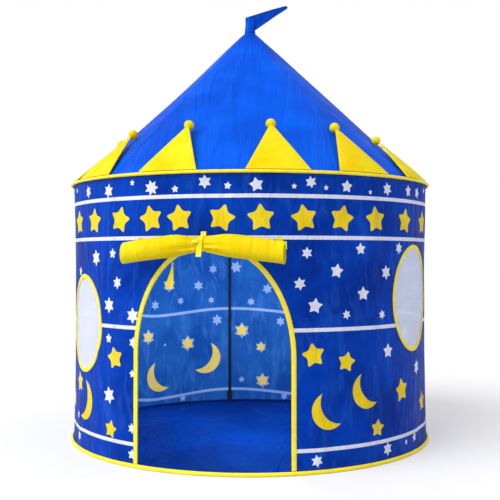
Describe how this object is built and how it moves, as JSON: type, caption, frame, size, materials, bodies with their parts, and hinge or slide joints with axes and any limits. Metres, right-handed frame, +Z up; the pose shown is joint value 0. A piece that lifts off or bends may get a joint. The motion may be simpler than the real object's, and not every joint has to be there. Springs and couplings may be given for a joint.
{
  "type": "play tent",
  "caption": "Child's castle play tent: round cloth drum under a cone roof with pennant, a ring of crown points, an arched doorway with a rolled-up flap, and oval net windows.",
  "frame": {"origin": "middle of the floor sheet's underside, on the ground", "axes": "+Z up along the tent's axis to the peak, -Y out through the middle of the doorway, +X to the right of someone who faces the doorway"},
  "size_m": [1.0498, 1.0963, 1.2777],
  "materials": {
    "wall_cloth": "printed woven polyester",
    "roof_cloth": "plain woven polyester",
    "floor_cloth": "coated woven polyester",
    "yellow_cloth": "plain woven polyester",
    "yellow_tape": "folded binding tape",
    "window_net": "fine knitted net",
    "spring_wire": "tempered wire",
    "pole": "drawn glass-fibre rod",
    "moulded_sockets": "moulded polypropylene"
  },
  "bodies": {
    "root": {"base_binding": "yellow_tape", "base_hoop": "spring_wire", "crown_point_01": "yellow_cloth", "crown_point_02": "yellow_cloth", "crown_point_03": "yellow_cloth", "crown_point_04": "yellow_cloth", "crown_point_05": "yellow_cloth", "crown_point_06": "yellow_cloth", "crown_point_07": "yellow_cloth", "crown_point_08": "yellow_cloth", "crown_point_09": "yellow_cloth", "crown_point_10": "yellow_cloth", "crown_point_11": "yellow_cloth", "crown_point_12": "yellow_cloth", "crown_point_13": "yellow_cloth", "door_binding": "yellow_tape", "door_flap_curtain": "yellow_cloth", "eave_binding": "yellow_tape", "eave_hoop": "spring_wire", "elbow_1": "moulded_sockets", "elbow_2": "moulded_sockets", "elbow_3": "moulded_sockets", "elbow_4": "moulded_sockets", "elbow_5": "moulded_sockets", "floor_sheet": "floor_cloth", "foot_cup_1": "moulded_sockets", "foot_cup_2": "moulded_sockets", "foot_cup_3": "moulded_sockets", "foot_cup_4": "moulded_sockets", "foot_cup_5": "moulded_sockets", "left_window_binding": "yellow_tape", "left_window_net": "window_net", "peak_hub": "moulded_sockets", "pennant": "roof_cloth", "right_window_binding": "yellow_tape", "right_window_net": "window_net", "roof_gore_1": "roof_cloth", "roof_gore_2": "roof_cloth", "roof_gore_3": "roof_cloth", "roof_gore_4": "roof_cloth", "roof_gore_5": "roof_cloth", "roof_pole_1": "pole", "roof_pole_2": "pole", "roof_pole_3": "pole", "roof_pole_4": "pole", "roof_pole_5": "pole", "wall_panel_back": "wall_cloth", "wall_panel_back_left": "wall_cloth", "wall_panel_door": "wall_cloth", "wall_panel_left": "wall_cloth", "wall_panel_right": "wall_cloth", "wall_pole_1": "pole", "wall_pole_2": "pole", "wall_pole_3": "pole", "wall_pole_4": "pole", "wall_pole_5": "pole"},
    "door_flap": {"door_flap_roll": "yellow_cloth"},
    "roll_strap": {"roll_tie": "yellow_tape"},
    "ribbon": {"door_ribbon": "yellow_tape"}
  },
  "joints": [
    {"name": "flap_unroll", "type": "slide", "parent": "root", "child": "door_flap", "axis": [0, 0, -1], "range_m": [0, 0.45], "deforming": ["door_flap_curtain"]},
    {"name": "strap_lift", "type": "hinge", "parent": "root", "child": "roll_strap", "pos_m": [-0.01, -0.517, 0.5905], "axis": [-1, 0, 0], "range_deg": [0, 100]},
    {"name": "ribbon_swing", "type": "hinge", "parent": "root", "child": "ribbon", "pos_m": [-0.09437, -0.5075, 0.51012], "axis": [0.9831, -0.1828, 0], "range_deg": [-60, 60]}
  ]
}
